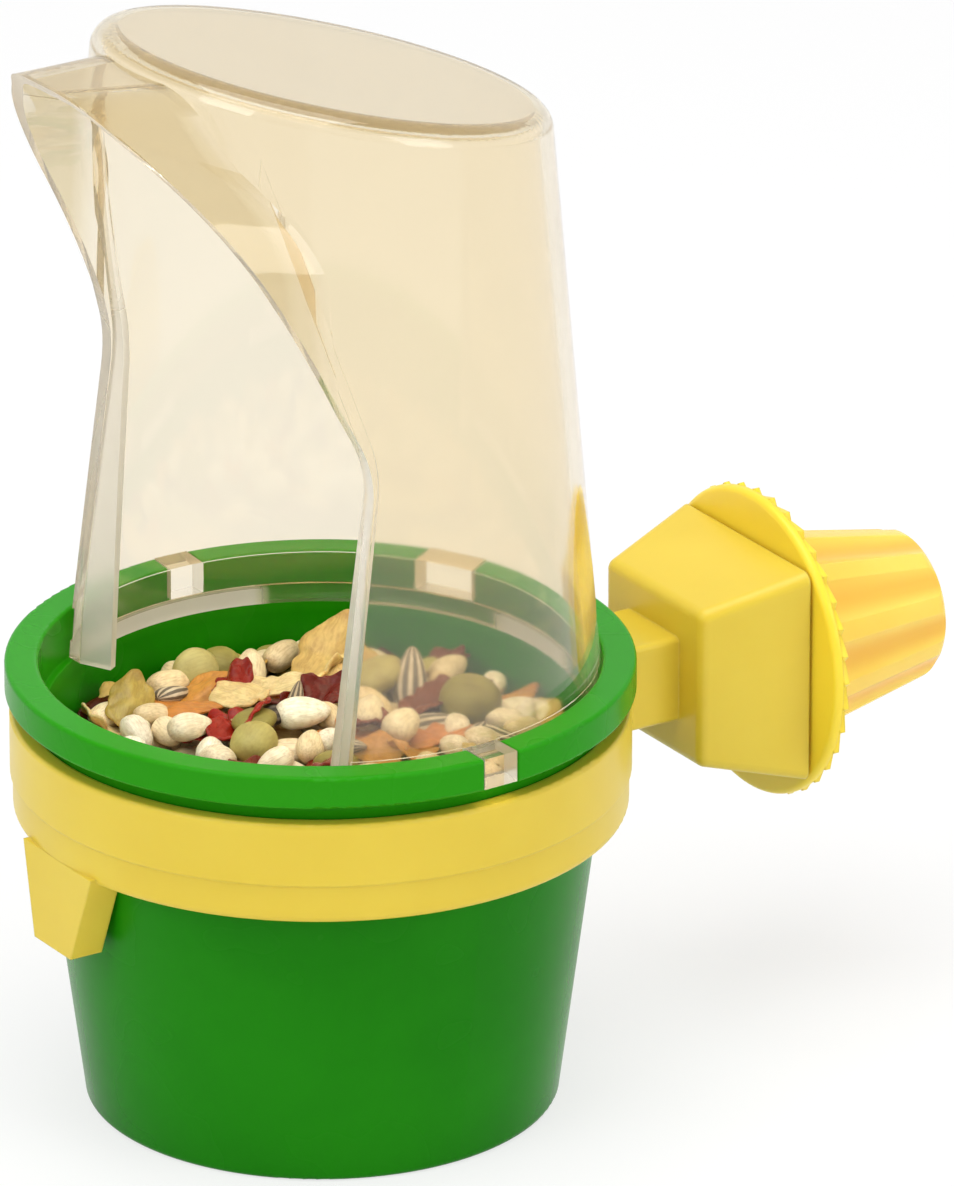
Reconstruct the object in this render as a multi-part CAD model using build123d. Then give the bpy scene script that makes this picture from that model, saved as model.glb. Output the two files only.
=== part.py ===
from build123d import *
import os
from math import atan2, cos, degrees, hypot, pi, radians, sin, sqrt

# Clip-on seed cup for a bird cage: a cup in a clamped holder, under a clear scatter hood.
# Millimetres. +Z up, origin at the centre of the cup's flat base.
# The hood opens towards -Y, and the clamp arm points along +Y.

# Cup
base_radius = 30.2  # outside, at the floor
base_round = 1.0
wall_lean = 0.131  # growth of the cup's radius for each mm of height
cup_height = 59.4  # to the rim's top face
cup_wall = 2.4
cup_floor = 2.2
rim_overhang = 2.58  # of the rim beyond the cup's wall
rim_height = 4.3
rim_round = 0.5
hood_seat_depth = 6.6  # from the rim's top down to the ledge that carries the hood
hood_seat_width = 0.98  # of that ledge
side_slot_width = 5.3
back_slot_width = 9.0
side_slot_angles = (-0.6, 175.0)  # from +X, before the cup is turned
back_slot_angle = 117.0
cup_turn = 3.0  # how far the cup and its hood stand turned in the ring

# Hood
hood_wall = 1.8
hood_fit = 0.3  # radial clearance of the tube in the rim's bore
hood_taper = 0.085  # loss of radius for each mm of height
top_rise = 79.5  # of the slanted top above the rim, on the cup's axis
top_angle = 14.7  # the top's slope, high at the front
top_round = 3.0
collar_clearance = 0.7  # between the collar and the rim's bore
seat_gap = 0.1  # under the collar
band_height = 2.2  # of the wider band round the collar's foot
band_clearance = 0.25  # between that band and the rim's bore
tab_clearance = 0.2  # round a tab in its slot
mouth_low_setback = 17.6  # of the mouth's edge behind the tube's front, at the collar
mouth_waist_setback = 23.1  # the same at the waist, where the visor's lip starts
mouth_waist_rise = 36.8  # of the waist above the rim
mouth_waist_round = 16.0
lip_setback = 22.0  # a point on the lip's plane: behind the tube's front, and its rise above the rim
lip_rise = 39.8
lip_angle = 58.4  # of the lip's plane, up from level
lip_bow = 2.6  # how far the lip's middle is set back from that plane
visor_depth = 18.0  # from the lip's plane back to the visor's root, inside the tube
lip_foot = (5.2, -12.0)  # half outline of the lip: how far in from the tube's side, and up the lip's plane
lip_knee = (13.6, 41.0)
lip_shoulder = (29.4, 53.9)
root_foot = (6.4, -12.0)  # the same outline at the visor's root
root_knee = (7.9, 16.0)
root_shoulder = (24.4, 40.5)
knee_round = 36.0
shoulder_round = 8.5
edge_rib_thickness = 1.6  # of the rib inside the tube, along its front edge
edge_rib_depth = 1.5  # from the wall inwards, at the waist
edge_rib_foot_depth = 4.8  # the same at the collar
edge_rib_reach = 12.0  # how far the rib's sides run in from the tube's side walls
edge_rib_turn = 24.0  # of the rib's face, from square to the hood's middle plane
edge_rib_slope = 0.37  # how far the rib leans forward for each mm of height above the waist

# Holder
ring_drop = 2.4  # from the rim down to the ring
ring_height = 13.5
ring_wall = 2.15  # at the ring's top
ring_step_height = 5.0  # of the lower band
ring_step = 0.35  # how far the lower band is set back
ring_bottom_round = 1.2
ring_top_round = 0.5
cup_fit = 0.2  # radial clearance of the cup in the ring's tapered bore
tongue_drop = 10.9  # below the ring
tongue_top_width = 16.4
tongue_bottom_width = 8.8
tongue_depth = 4.6
tongue_lean = 0.8  # how far the foot stands ahead of the ring
clamp_rise = 7.7  # of the clamp's axis above the ring's lower edge
arm_width = 12.4
arm_height = 11.6
arm_round = 0.8
arm_length = 10.75  # from the ring to the block's small face
block_length = 14.3
block_small = (22.5, 21.3)  # width and height of the face on the arm
block_large = (29.9, 28.9)  # width and height of the clamp face
block_corner = 1.5
block_wall = 2.6
boss_radius = 6.8
rib_thickness = 1.8
rib_setback = 1.0  # of the ribs and the boss behind the clamp face

# Clamp
jaw_gap = 0.45
thread_radius = 4.0
thread_depth = 0.8
thread_pitch = 2.5
thread_root_width = 1.5
thread_crest_width = 0.7
thread_clearance = 0.2
stud_length = 20.5  # beyond the clamp face
stud_fit = 0.02  # radial, in the boss
plate_radius = 20.6  # at the tips of the teeth
plate_thickness = 2.0
plate_edge_thickness = 1.2  # of the smooth front part, ahead of the teeth
plate_edge_drop = 0.2  # how far that part stays inside the tips
plate_edge_round = 0.8
plate_teeth = 36
plate_tooth_depth = 0.9
plate_tooth_rake = 0.8  # share of a tooth's pitch taken by its long side
plate_clearance = 0.4  # radial, round the stud
knob_gap = 0.1  # between plate and knob
knob_radius = 14.2
knob_end_radius = 9.7
knob_length = 22.9
knob_end_wall = 3.0
knob_end_round = 2.2
flute_count = 10
flute_radius = 5.0
flute_depth = 1.3
flute_end_depth = 0.5

# Seeds
bed_depth = 16.8  # from the rim down to the filling's top at the wall
bed_crown = 2.6
bed_clearance = 0.15
seed_count = 46
seed_margin = 4.75  # between the outermost seeds' middles and the wall
seed_gap = 0.1  # under a seed
safflower_size = (6.8, 4.4)  # length and thickness
pea_size = (6.9, 6.4)
sunflower_size = (7.2, 3.4)
fruit_flake_size = (7.0, 1.5)
chilli_flake_size = (6.6, 1.2)
safflower_lean = 80.0  # of a seed's own axis, from upright
pea_lean = 70.0
sunflower_lean = 82.0
fruit_flake_lean = 14.0
chilli_flake_lean = 18.0
seed_order = (
    "safflower_seeds",
    "fruit_flakes",
    "chilli_flakes",
    "safflower_seeds",
    "dried_peas",
    "sunflower_seeds",
    "safflower_seeds",
    "chilli_flakes",
    "fruit_flakes",
    "dried_peas",
    "safflower_seeds",
)

# Places worked out from the sizes above
rim_bottom = cup_height - rim_height
rim_radius = base_radius + wall_lean * rim_bottom + rim_overhang
ledge_height = cup_height - hood_seat_depth
rim_bore_radius = base_radius + wall_lean * ledge_height - cup_wall + hood_seat_width
collar_bottom = ledge_height + seat_gap
collar_radius = rim_bore_radius - collar_clearance
hood_radius = rim_bore_radius - hood_fit  # level with the rim's top
top_height = cup_height + top_rise
mouth_low_front = hood_radius - mouth_low_setback
mouth_waist_front = hood_radius - mouth_waist_setback
lip_front = hood_radius - lip_setback
mouth_waist_height = cup_height + mouth_waist_rise
lip_height = cup_height + lip_rise
ring_top = rim_bottom - ring_drop
ring_bottom = ring_top - ring_height
ring_radius = base_radius + wall_lean * ring_top + cup_fit + ring_wall
clamp_height = ring_bottom + clamp_rise
block_start = ring_radius + arm_length
clamp_face = block_start + block_length
plate_start = clamp_face + jaw_gap
knob_start = plate_start + plate_thickness + knob_gap
thread_root = thread_radius - thread_depth
bed_edge_height = cup_height - bed_depth
bed_edge = base_radius + wall_lean * bed_edge_height - cup_wall - bed_clearance
seed_spacing = (bed_edge - seed_margin) / sqrt(seed_count)
cut_margin = 1.0  # how far a cutting shape runs past what it cuts
big = 200.0  # larger than the whole object


def cup_outside(height):
    return base_radius + wall_lean * height


def cup_inside(height):
    return cup_outside(height) - cup_wall


def hood_outside(height):
    return hood_radius - hood_taper * (height - cup_height)


def rounded_face(points, rounds):
    # A closed outline with the corners at some of its points rounded.
    face = make_face(Polyline(*points, close=True))
    for index, radius in rounds.items():
        corner = face.vertices().sort_by_distance(Vector(*points[index]))[0]
        face = fillet(corner, radius)
    return face


def turned(points, rounds):
    # A solid of revolution about Z from an outline of (radius, height).
    return revolve(Plane.XZ * rounded_face(points, rounds), Axis.Z)


def cone_between(low_radius, high_radius, low, high):
    points = [(0, low), (low_radius, low), (high_radius, high), (0, high)]
    return turned(points, {})


def radial_block(inner, outer, width, low, high, angle):
    # A block that lies along a radius, at an angle from +X.
    block = Pos((inner + outer) / 2, 0, (low + high) / 2) * Box(outer - inner, width, high - low)
    return Rot(0, 0, angle) * block


def along_clamp(distance):
    # Turns a shape made along +Z to lie along +Y, at a distance on the clamp's axis.
    return Pos(0, distance, clamp_height) * Rot(-90, 0, 0)


slots = [(angle, side_slot_width) for angle in side_slot_angles]
slots.append((back_slot_angle, back_slot_width))


def make_cup():
    outline = [
        (0, 0),
        (base_radius, 0),
        (cup_outside(rim_bottom), rim_bottom),
        (rim_radius, rim_bottom),
        (rim_radius, cup_height),
        (rim_bore_radius, cup_height),
        (rim_bore_radius, ledge_height),
        (cup_inside(ledge_height), ledge_height),
        (cup_inside(cup_floor), cup_floor),
        (0, cup_floor),
    ]
    rounds = {1: base_round, 2: rim_round, 3: rim_round, 4: rim_round, 5: rim_round, 8: base_round}
    cup = turned(outline, rounds)
    for angle, width in slots:
        low = rim_bottom
        high = cup_height + cut_margin
        inner = rim_bore_radius - cut_margin
        cup -= radial_block(inner, rim_radius + cut_margin, width, low, high, angle)
    return cup


def lip_plane(distance):
    # A plane across the visor, at a distance ahead of the lip's own plane.
    ahead = Vector(0, -sin(radians(lip_angle)), -cos(radians(lip_angle)))
    foot = Vector(0, -lip_front, lip_height)
    return Plane(origin=foot + ahead * distance, x_dir=(1, 0, 0), z_dir=ahead)


def visor_section(distance, wall):
    # The visor's outline on a plane, run out in straight lines from root to lip.
    share = distance / visor_depth

    def run(lip, root):
        return tuple(a + (a - b) * share for a, b in zip(lip, root))

    half = [run(lip_foot, root_foot), run(lip_knee, root_knee), run(lip_shoulder, root_shoulder)]
    half = [(hood_radius - inset, up) for inset, up in half]
    points = half + [(-x, y) for x, y in reversed(half)]
    face = rounded_face(points, {1: knee_round, 2: shoulder_round, 3: shoulder_round, 4: knee_round})
    if wall > 0:
        face = offset(face, -wall)
    return lip_plane(distance) * face


def visor_core(wall):
    return loft([visor_section(-visor_depth, wall), visor_section(cut_margin, wall)], ruled=True)


def hood_core(wall, bottom):
    # The filled tube under its slanted top, taken in by a wall.
    high = cup_height + big
    tube = cone_between(hood_outside(cup_height) - wall, hood_outside(high) - wall, cup_height, high)
    collar_face = collar_radius if wall == 0 else hood_outside(cup_height) - wall
    tube += cone_between(collar_face, collar_face, bottom, cup_height)
    drop = wall / cos(radians(top_angle))
    above = Pos(0, 0, top_height - drop) * Rot(-top_angle, 0, 0) * Pos(0, 0, big) * Box(big, big, 2 * big)
    tube -= above
    top_edges = tube.faces().sort_by(Axis.Z)[-1].edges()
    return fillet(top_edges, top_round - wall)


def mouth_cutter():
    # The mouth's side outline: up the tube's edge, round the waist and out along the lip.
    low = collar_bottom - cut_margin
    level = cos(radians(lip_angle))
    rise = sin(radians(lip_angle))
    foot = Vector(-mouth_low_front, low)
    waist = Vector(-mouth_waist_front, mouth_waist_height)
    lip_end = lip_shoulder[1]
    tip = Vector(-lip_front - lip_end * level, lip_height + lip_end * rise)
    middle = (waist + tip) / 2 + Vector(lip_bow * rise, lip_bow * level)
    beyond = tip + Vector(-big * level, big * rise)
    edges = [
        Line(foot, waist),
        ThreePointArc(waist, middle, tip),
        Line(tip, beyond),
        Line(beyond, (-2 * big, beyond.Y)),
        Line((-2 * big, beyond.Y), (-2 * big, low)),
        Line((-2 * big, low), foot),
    ]
    side = make_face(edges)
    side = fillet(side.vertices().sort_by_distance(waist)[0], mouth_waist_round)
    return extrude(Plane.YZ * side, amount=big, both=True)


def edge_rib():
    # A rib inside the tube, along the mouth's edge and on up behind the visor.
    low = collar_bottom
    high = top_height + top_rise
    lean = edge_rib_slope * (high - mouth_waist_height)
    front = [
        (-mouth_low_front, low),
        (-mouth_waist_front, mouth_waist_height),
        (-mouth_waist_front - lean, high),
    ]
    back = [(y + edge_rib_thickness, z) for y, z in reversed(front)]
    side = rounded_face(front + back, {1: mouth_waist_round, 4: mouth_waist_round})
    wall_side = sqrt((hood_radius - hood_wall) ** 2 - mouth_low_front ** 2)
    turn = radians(edge_rib_turn)
    section = Pos(wall_side, 0, 0) * (Plane.YZ * side)
    slab = extrude(section, amount=edge_rib_reach, dir=(-cos(turn), sin(turn), 0), both=True)
    slab += mirror(slab, about=Plane.YZ)

    # The rib is deepest at the collar and runs out into the wall at the top.
    core = [
        (0, low - cut_margin),
        (hood_outside(cup_height) - hood_wall - edge_rib_foot_depth, low - cut_margin),
        (hood_outside(mouth_waist_height) - hood_wall - edge_rib_depth, mouth_waist_height),
        (hood_outside(top_height) - hood_wall, top_height),
        (hood_outside(top_height) - hood_wall, high),
        (0, high),
    ]
    return slab & (hood_core(hood_wall / 2, low) - turned(core, {}))


def make_hood():
    band_radius = rim_bore_radius - band_clearance
    band_top = collar_bottom + band_height
    outside = hood_core(0, collar_bottom) + visor_core(0)
    outside += cone_between(band_radius, band_radius, collar_bottom, band_top)
    inside = hood_core(hood_wall, collar_bottom - cut_margin) + visor_core(hood_wall)
    hood = outside - inside + edge_rib() - mouth_cutter()
    for angle, width in slots:
        inner = hood_outside(cup_height) - hood_wall / 2
        outer = rim_radius - tab_clearance
        low = rim_bottom + tab_clearance
        tab = radial_block(inner, outer, width - 2 * tab_clearance, low, cup_height, angle)
        foot = radial_block(inner, collar_radius, width, band_top - cut_margin, low + cut_margin, angle)
        hood += tab + foot
    return hood


def block_section(distance, wall):
    # The clamp block's rounded outline, square to the clamp's axis.
    share = (distance - block_start) / block_length
    width, height = (a + (b - a) * share - 2 * wall for a, b in zip(block_small, block_large))
    return along_clamp(distance) * RectangleRounded(width, height, block_corner)


def make_block():
    block = loft([block_section(block_start, 0), block_section(clamp_face, 0)], ruled=True)
    block = fillet(block.faces().sort_by(Axis.Y)[0].edges(), block_corner)
    floor = block_start + block_wall
    hollow = loft([block_section(floor, block_wall), block_section(clamp_face, block_wall)], ruled=True)
    rib_end = clamp_face - rib_setback
    depth = rib_end - floor
    middle = Pos(0, floor + depth / 2, clamp_height)
    cross = middle * Box(big, depth, rib_thickness) + middle * Box(rib_thickness, depth, big)
    boss = along_clamp(floor + depth / 2) * Cylinder(boss_radius, depth)
    return block - (hollow - cross - boss)


def make_tongue():
    top = ring_bottom + cut_margin
    foot = ring_bottom - tongue_drop
    front = ring_radius - ring_step
    back = front - tongue_depth
    middle = (front + back) / 2
    top_face = Pos(0, -middle, top) * Rectangle(tongue_top_width, tongue_depth)
    foot_face = Pos(0, -middle - tongue_lean, foot) * Rectangle(tongue_bottom_width, tongue_depth)
    return loft([foot_face, top_face], ruled=True)


def make_holder():
    step = ring_bottom + ring_step_height
    low_radius = ring_radius - ring_step
    bore_core = cup_outside(ring_bottom) - cut_margin
    outline = [
        (bore_core, ring_bottom),
        (low_radius, ring_bottom),
        (low_radius, step),
        (ring_radius, step + ring_step),
        (ring_radius, ring_top),
        (bore_core, ring_top),
    ]
    holder = turned(outline, {1: ring_bottom_round, 4: ring_top_round})
    arm_start = ring_radius - 2 * cut_margin
    arm_reach = block_start + cut_margin - arm_start
    arm = Box(arm_width, arm_reach, arm_height)
    arm = fillet(arm.edges().filter_by(Axis.Y), arm_round)
    holder += Pos(0, arm_start + arm_reach / 2, clamp_height) * arm
    holder += make_tongue()
    holder += make_block()
    low = ring_bottom - tongue_drop - cut_margin
    high = cup_height
    holder -= cone_between(cup_outside(low) + cup_fit, cup_outside(high) + cup_fit, low, high)
    stud_root = block_start + block_wall
    bore = Cylinder(thread_radius + stud_fit, block_length, align=(Align.CENTER, Align.CENTER, Align.MIN))
    return holder - along_clamp(stud_root) * bore


def thread_ridge(start, length, clearance):
    # One right-hand thread along the clamp's axis, wider all round by a clearance.
    sunk = thread_root - clearance - thread_depth / 4
    crest = thread_radius + clearance
    path = Helix(thread_pitch, length, sunk)
    root_half = thread_root_width / 2 + clearance
    crest_half = thread_crest_width / 2 + clearance
    points = [(0, -root_half), (crest - sunk, -crest_half), (crest - sunk, crest_half), (0, root_half)]
    start_plane = Plane(origin=path @ 0, x_dir=(1, 0, 0), z_dir=path % 0)
    section = start_plane * make_face(Polyline(*points, close=True))
    return along_clamp(start) * sweep(section, path=path, is_frenet=True)


def rod(radius, start, end):
    return along_clamp((start + end) / 2) * Cylinder(radius, end - start)


def make_stud():
    thread_start = clamp_face + jaw_gap / 2
    tip = clamp_face + stud_length
    stud = rod(thread_root, clamp_face, tip) + rod(thread_radius, block_start + block_wall, clamp_face)
    tip_edge = stud.faces().sort_by(Axis.Y)[-1].edges()
    stud = chamfer(tip_edge, thread_depth)
    return stud + thread_ridge(thread_start, tip - thread_start - thread_pitch, 0)


def make_plate():
    pitch = 2 * pi / plate_teeth
    points = []
    for tooth in range(plate_teeth):
        for turn, radius in ((0.0, plate_radius - plate_tooth_depth), (plate_tooth_rake, plate_radius)):
            angle = (tooth + turn) * pitch
            points.append((radius * cos(angle), radius * sin(angle)))
    toothed = extrude(make_face(Polyline(*points, close=True)), plate_thickness - plate_edge_thickness)
    edge = plate_radius - plate_edge_drop
    outline = [(0, 0), (edge, 0), (edge, plate_edge_thickness), (0, plate_edge_thickness)]
    plate = turned(outline, {1: plate_edge_round}) + Pos(0, 0, plate_edge_thickness) * toothed
    bore = Cylinder(thread_radius + plate_clearance, big)
    return along_clamp(plate_start) * (plate - bore)


def make_knob():
    end = knob_start + knob_length
    body = along_clamp(knob_start) * turned(
        [(0, 0), (knob_radius, 0), (knob_end_radius, knob_length), (0, knob_length)],
        {2: knob_end_round},
    )
    base_offset = knob_radius + flute_radius - flute_depth
    end_offset = knob_end_radius + flute_radius - flute_end_depth
    slope = (base_offset - end_offset) / knob_length
    reach = knob_length + 2 * cut_margin
    for flute in range(flute_count):
        angle = 360.0 * flute / flute_count
        groove = Cylinder(flute_radius, 2 * reach)
        groove = Pos(base_offset, 0, 0) * Rot(0, -degrees(atan2(slope, 1)), 0) * groove
        body -= along_clamp(knob_start) * Rot(0, 0, angle) * groove
    bore_end = end - knob_end_wall
    body -= rod(thread_root + thread_clearance, knob_start - cut_margin, bore_end)
    # The groove starts whole turns ahead of the stud's ridge, so the two stay in step.
    groove_start = clamp_face + jaw_gap / 2
    return body - thread_ridge(groove_start, bore_end - groove_start - thread_pitch, thread_clearance)


def cap_radius(reach, rise):
    # Radius of the ball that gives a cap of this reach and rise.
    return (reach ** 2 + rise ** 2) / (2 * rise)


def bed_top(radius):
    ball = cap_radius(bed_edge, bed_crown)
    return bed_edge_height + bed_crown - ball + sqrt(ball ** 2 - radius ** 2)


def make_seed_bed():
    foot = cup_inside(cup_floor + base_round) - bed_clearance - base_round
    filling = cone_between(foot, bed_edge, cup_floor, bed_edge_height)
    return filling + cap(bed_edge, bed_crown, bed_edge_height)


def cap(reach, rise, height):
    # The top slice of a ball, lying at a height.
    ball = cap_radius(reach, rise)
    slice_box = Pos(0, 0, height + ball) * Box(big, big, 2 * ball)
    return Pos(0, 0, height + rise - ball) * Sphere(ball) & slice_box


def grain(length, thickness):
    # A seed longer than it is thick, turned about Z.
    half = length / 2
    radius = thickness / 2
    outline = Ellipse(radius, half) & Pos(radius, 0) * Rectangle(2 * radius, length)
    return revolve(Plane.XZ * outline, Axis.Z)


def flake(length, thickness):
    # A thin lens, flat in XY.
    upper = cap(length / 2, thickness / 2, 0)
    return upper + mirror(upper, about=Plane.XY)


def make_seeds():
    # One layer of seeds on the filling, on a spiral that keeps them evenly apart.
    # Each kind has a body, its size along and across its own axis, and its lean.
    kinds = {
        "safflower_seeds": (grain(*safflower_size), safflower_size, safflower_lean),
        "dried_peas": (grain(*pea_size), pea_size, pea_lean),
        "sunflower_seeds": (grain(*sunflower_size), sunflower_size, sunflower_lean),
        "fruit_flakes": (flake(*fruit_flake_size), fruit_flake_size[::-1], fruit_flake_lean),
        "chilli_flakes": (flake(*chilli_flake_size), chilli_flake_size[::-1], chilli_flake_lean),
    }
    golden_turn = 180.0 * (3 - sqrt(5))
    groups = {name: [] for name in kinds}
    for index in range(seed_count):
        name = seed_order[index % len(seed_order)]
        body, (along, across), lean = kinds[name]
        radius = seed_spacing * sqrt(index + 0.5)
        turn = golden_turn * index
        tilt = radians(lean)
        half_height = hypot(along / 2 * cos(tilt), across / 2 * sin(tilt))
        half_reach = max(along, across) / 2
        floor = bed_top(max(radius - half_reach, 0)) + seed_gap
        spot = Rot(0, 0, turn) * Pos(radius, 0, floor + half_height)
        groups[name].append(spot * Rot(0, 0, 2 * turn) * Rot(0, lean, 0) * body)
    return {name: Compound([seed.solid() for seed in seeds]) for name, seeds in groups.items()}


pieces = {
    "seed_cup": Rot(0, 0, cup_turn) * make_cup(),
    "hood": Rot(0, 0, cup_turn) * make_hood(),
    "holder": make_holder(),
    "clamp_stud": make_stud(),
    "clamp_plate": make_plate(),
    "clamp_knob": make_knob(),
    "seed_bed": make_seed_bed(),
    **make_seeds(),
}

os.makedirs("parts", exist_ok=True)
for name, piece in pieces.items():
    export_step(piece, f"parts/{name}.step")
    print(name, len(piece.solids()), round(piece.volume, 1))
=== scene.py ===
import bpy
import bmesh
import math
import random
import numpy as np
from mathutils import Matrix, Vector, noise


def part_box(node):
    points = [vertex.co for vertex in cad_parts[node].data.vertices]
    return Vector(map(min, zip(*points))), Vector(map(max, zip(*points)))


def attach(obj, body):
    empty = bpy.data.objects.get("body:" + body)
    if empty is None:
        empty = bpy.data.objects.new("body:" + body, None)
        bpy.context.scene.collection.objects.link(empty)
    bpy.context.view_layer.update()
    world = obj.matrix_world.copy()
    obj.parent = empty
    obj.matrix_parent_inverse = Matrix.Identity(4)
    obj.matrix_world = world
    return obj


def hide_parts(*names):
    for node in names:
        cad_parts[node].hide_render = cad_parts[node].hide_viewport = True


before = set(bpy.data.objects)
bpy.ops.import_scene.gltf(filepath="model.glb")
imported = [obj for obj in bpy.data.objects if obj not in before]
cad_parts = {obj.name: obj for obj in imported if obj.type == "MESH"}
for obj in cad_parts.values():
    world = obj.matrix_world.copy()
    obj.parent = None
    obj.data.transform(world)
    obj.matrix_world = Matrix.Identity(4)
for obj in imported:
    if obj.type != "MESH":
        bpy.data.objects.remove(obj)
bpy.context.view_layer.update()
mm = 0.001
white = (1, 1, 1, 1)
scene = bpy.context.scene
scene.view_settings.view_transform = "Standard"
print("frame loaded,", len(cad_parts), "nodes")


def paint(red, green, blue):
    # 8-bit paint values to the linear colour a shader takes
    def linear(value):
        share = value / 255
        return share / 12.92 if share <= 0.04045 else ((share + 0.055) / 1.055) ** 2.4

    return (linear(red), linear(green), linear(blue), 1.0)


def grey(value):
    return (value, value, value, 1)


# camera, as the photograph was taken
cameraPlace = {
    "target": Vector((10.6, 16.7, 67.8)) * mm,
    "turn": math.radians(57.5),  # from straight ahead of the hood's mouth, towards +X
    "height": math.radians(22.3),
    "distance": 1.8,
    "lens": 432.95,
    "clipEnd": 20,
    "pixel": 0.1262 * mm,  # size of a photograph pixel at the target
    "middle": (477, 593),
}
turn, height = cameraPlace["turn"], cameraPlace["height"]
rightWay = Vector((math.cos(turn), math.sin(turn), 0))
farWay = Vector((-math.sin(turn), math.cos(turn), 0))
upWay = farWay * math.sin(height) + Vector((0, 0, math.cos(height)))
nearWay = Vector((0, 0, math.sin(height))) - farWay * math.cos(height)
eye = cameraPlace["target"] + nearWay * cameraPlace["distance"]

cameraData = bpy.data.cameras.new("camera")
cameraData.lens = cameraPlace["lens"]
cameraData.clip_end = cameraPlace["clipEnd"]
camera = bpy.data.objects.new("camera", cameraData)
camera.location = eye
camera.rotation_euler = (-nearWay).to_track_quat("-Z", "Y").to_euler()
scene.collection.objects.link(camera)
scene.camera = camera


def spotOnLevel(pixel, level):
    # where the ray through a photograph pixel meets a level, in metres
    across = (pixel[0] - cameraPlace["middle"][0]) * cameraPlace["pixel"]
    down = (pixel[1] - cameraPlace["middle"][1]) * cameraPlace["pixel"]
    aim = cameraPlace["target"] + rightWay * across - upWay * down - eye
    return eye + aim * ((level - eye.z) / aim.z)


print("camera set")


# material helpers
noiseSpan = (0.3, 0.7)  # most of what a noise texture gives


def newMaterial(name):
    material = bpy.data.materials.new(name)
    material.use_nodes = True
    return material, material.node_tree, material.node_tree.nodes["Principled BSDF"]


def addNode(tree, kind, inputs=None, **settings):
    node = tree.nodes.new(kind)
    for name, value in settings.items():
        setattr(node, name, value)
    for name, value in (inputs or {}).items():
        node.inputs[name].default_value = value
    return node


def join(tree, source, socket):
    # the source is another node's output or a plain value
    if hasattr(source, "links"):
        tree.links.new(source, socket)
    else:
        socket.default_value = source


def objectPlace(tree):
    return addNode(tree, "ShaderNodeTexCoord").outputs["Object"]


def faceNormal(tree):
    return addNode(tree, "ShaderNodeNewGeometry").outputs["Normal"]


def addRamp(tree, source, stops):
    ramp = addNode(tree, "ShaderNodeValToRGB")
    while len(ramp.color_ramp.elements) < len(stops):
        ramp.color_ramp.elements.new(0.5)
    for element, (place, colour) in zip(ramp.color_ramp.elements, stops):
        element.position = place
        element.color = colour
    join(tree, source, ramp.inputs["Fac"])
    return ramp.outputs["Color"]


def addMath(tree, operation, first, second=0.0):
    node = addNode(tree, "ShaderNodeMath", operation=operation)
    for socket, value in zip(node.inputs, (first, second)):
        join(tree, value, socket)
    return node.outputs[0]


def addVector(tree, operation, first, second=None):
    node = addNode(tree, "ShaderNodeVectorMath", operation=operation)
    join(tree, first, node.inputs[0])
    if second is not None:
        join(tree, second, node.inputs["Scale"] if operation == "SCALE" else node.inputs[1])
    return node.outputs["Value" if operation in ("DOT_PRODUCT", "LENGTH") else "Vector"]


def addParts(tree, vector):
    node = addNode(tree, "ShaderNodeSeparateXYZ")
    join(tree, vector, node.inputs[0])
    return node.outputs


def addNoise(tree, place, scale, detail):
    node = addNode(tree, "ShaderNodeTexNoise", {"Scale": scale, "Detail": detail})
    join(tree, place, node.inputs["Vector"])
    return node.outputs["Fac"]


def addRange(tree, source, start, end, low=0.0, high=1.0):
    # low at the start, high at the end, level beyond both
    limits = {"From Min": start, "From Max": end, "To Min": low, "To Max": high}
    node = addNode(tree, "ShaderNodeMapRange", limits)
    join(tree, source, node.inputs["Value"])
    return node.outputs[0]


def addMix(tree, blend, share, first, second):
    node = addNode(tree, "ShaderNodeMix", data_type="RGBA", blend_type=blend)
    for socket, value in ((node.inputs[0], share), (node.inputs[6], first), (node.inputs[7], second)):
        join(tree, value, socket)
    return node.outputs[2]


def addBump(tree, relief, strength, distance, normal=None, invert=False):
    node = addNode(tree, "ShaderNodeBump", {"Strength": strength, "Distance": distance}, invert=invert)
    join(tree, relief, node.inputs["Height"])
    if normal is not None:
        join(tree, normal, node.inputs["Normal"])
    return node.outputs[0]


def showMixed(tree, share, first, second):
    # the surface shows two shaders, the second by its share
    mixed = addNode(tree, "ShaderNodeMixShader")
    for socket, value in zip(mixed.inputs, (share, first, second)):
        join(tree, value, socket)
    join(tree, mixed.outputs[0], tree.nodes["Material Output"].inputs["Surface"])


def setGlow(shader, share, colour, depth):
    # light that goes into the plastic or the seed and comes out beside
    shader.inputs["Subsurface Weight"].default_value = share
    shader.inputs["Subsurface Radius"].default_value = colour
    shader.inputs["Subsurface Scale"].default_value = depth


# floor and light
stageLook = {
    "floorSize": 4,
    "floorPaint": grey(0.9),
    "floorRoughness": 0.9,
    "floorShine": 0.1,
    "floorGlow": 0.7,  # share of plain white in the floor, the rest takes the shadow
    "skyLight": 0.5,
    "frontGrey": 0.25,  # what gloss sees in front of the object
    "frontEnd": 0.35,  # share of the room, from the front, in which that turns white
    "clearGrey": 0.85,  # and what the clear hood bends in from there
}


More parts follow.
